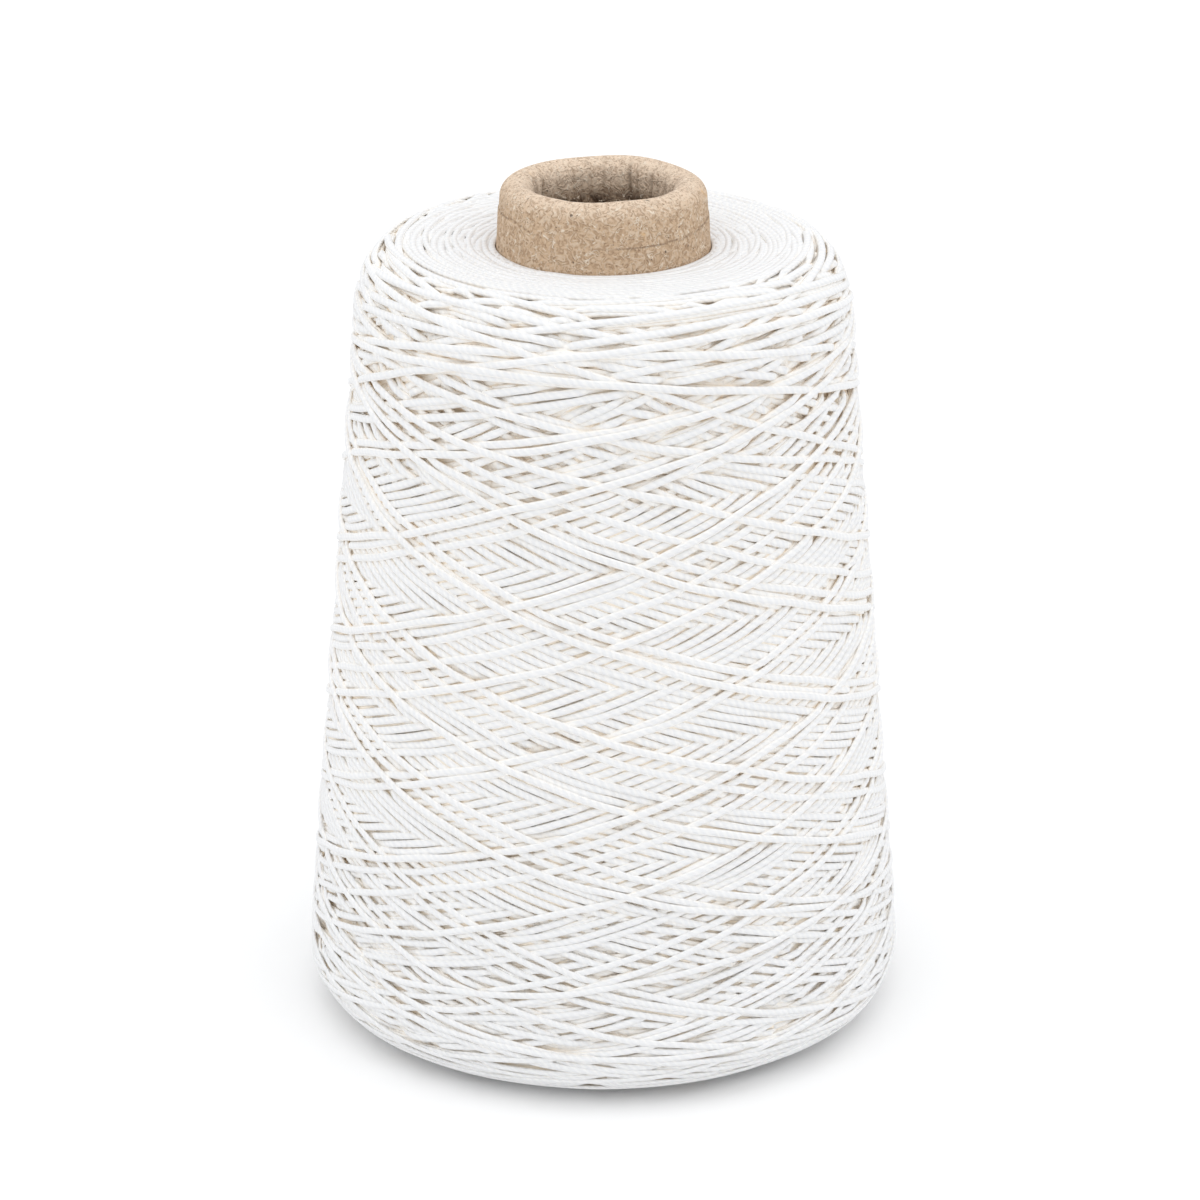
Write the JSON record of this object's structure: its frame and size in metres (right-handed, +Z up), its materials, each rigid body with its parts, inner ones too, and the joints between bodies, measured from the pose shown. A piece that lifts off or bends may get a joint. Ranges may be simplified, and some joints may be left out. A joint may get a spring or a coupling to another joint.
{
  "type": "cone of yarn",
  "caption": "Tapered cone of white plied cotton yarn, cross-wound on a hollow paperboard core with a bare rolled nose.",
  "frame": {"origin": "centre of the core's base ring, on the surface that the cone stands on", "axes": "+Z up along the cone's axis, from its wide base towards the core's nose"},
  "size_m": [0.1204, 0.1204, 0.17],
  "materials": {
    "paperboard": "matte pressed board with short fibre flecks",
    "cotton_yarn": "matte undyed plied cotton, cross-wound"
  },
  "bodies": {
    "root": {"paper_core": "paperboard", "yarn_body": "cotton_yarn"}
  },
  "joints": []
}
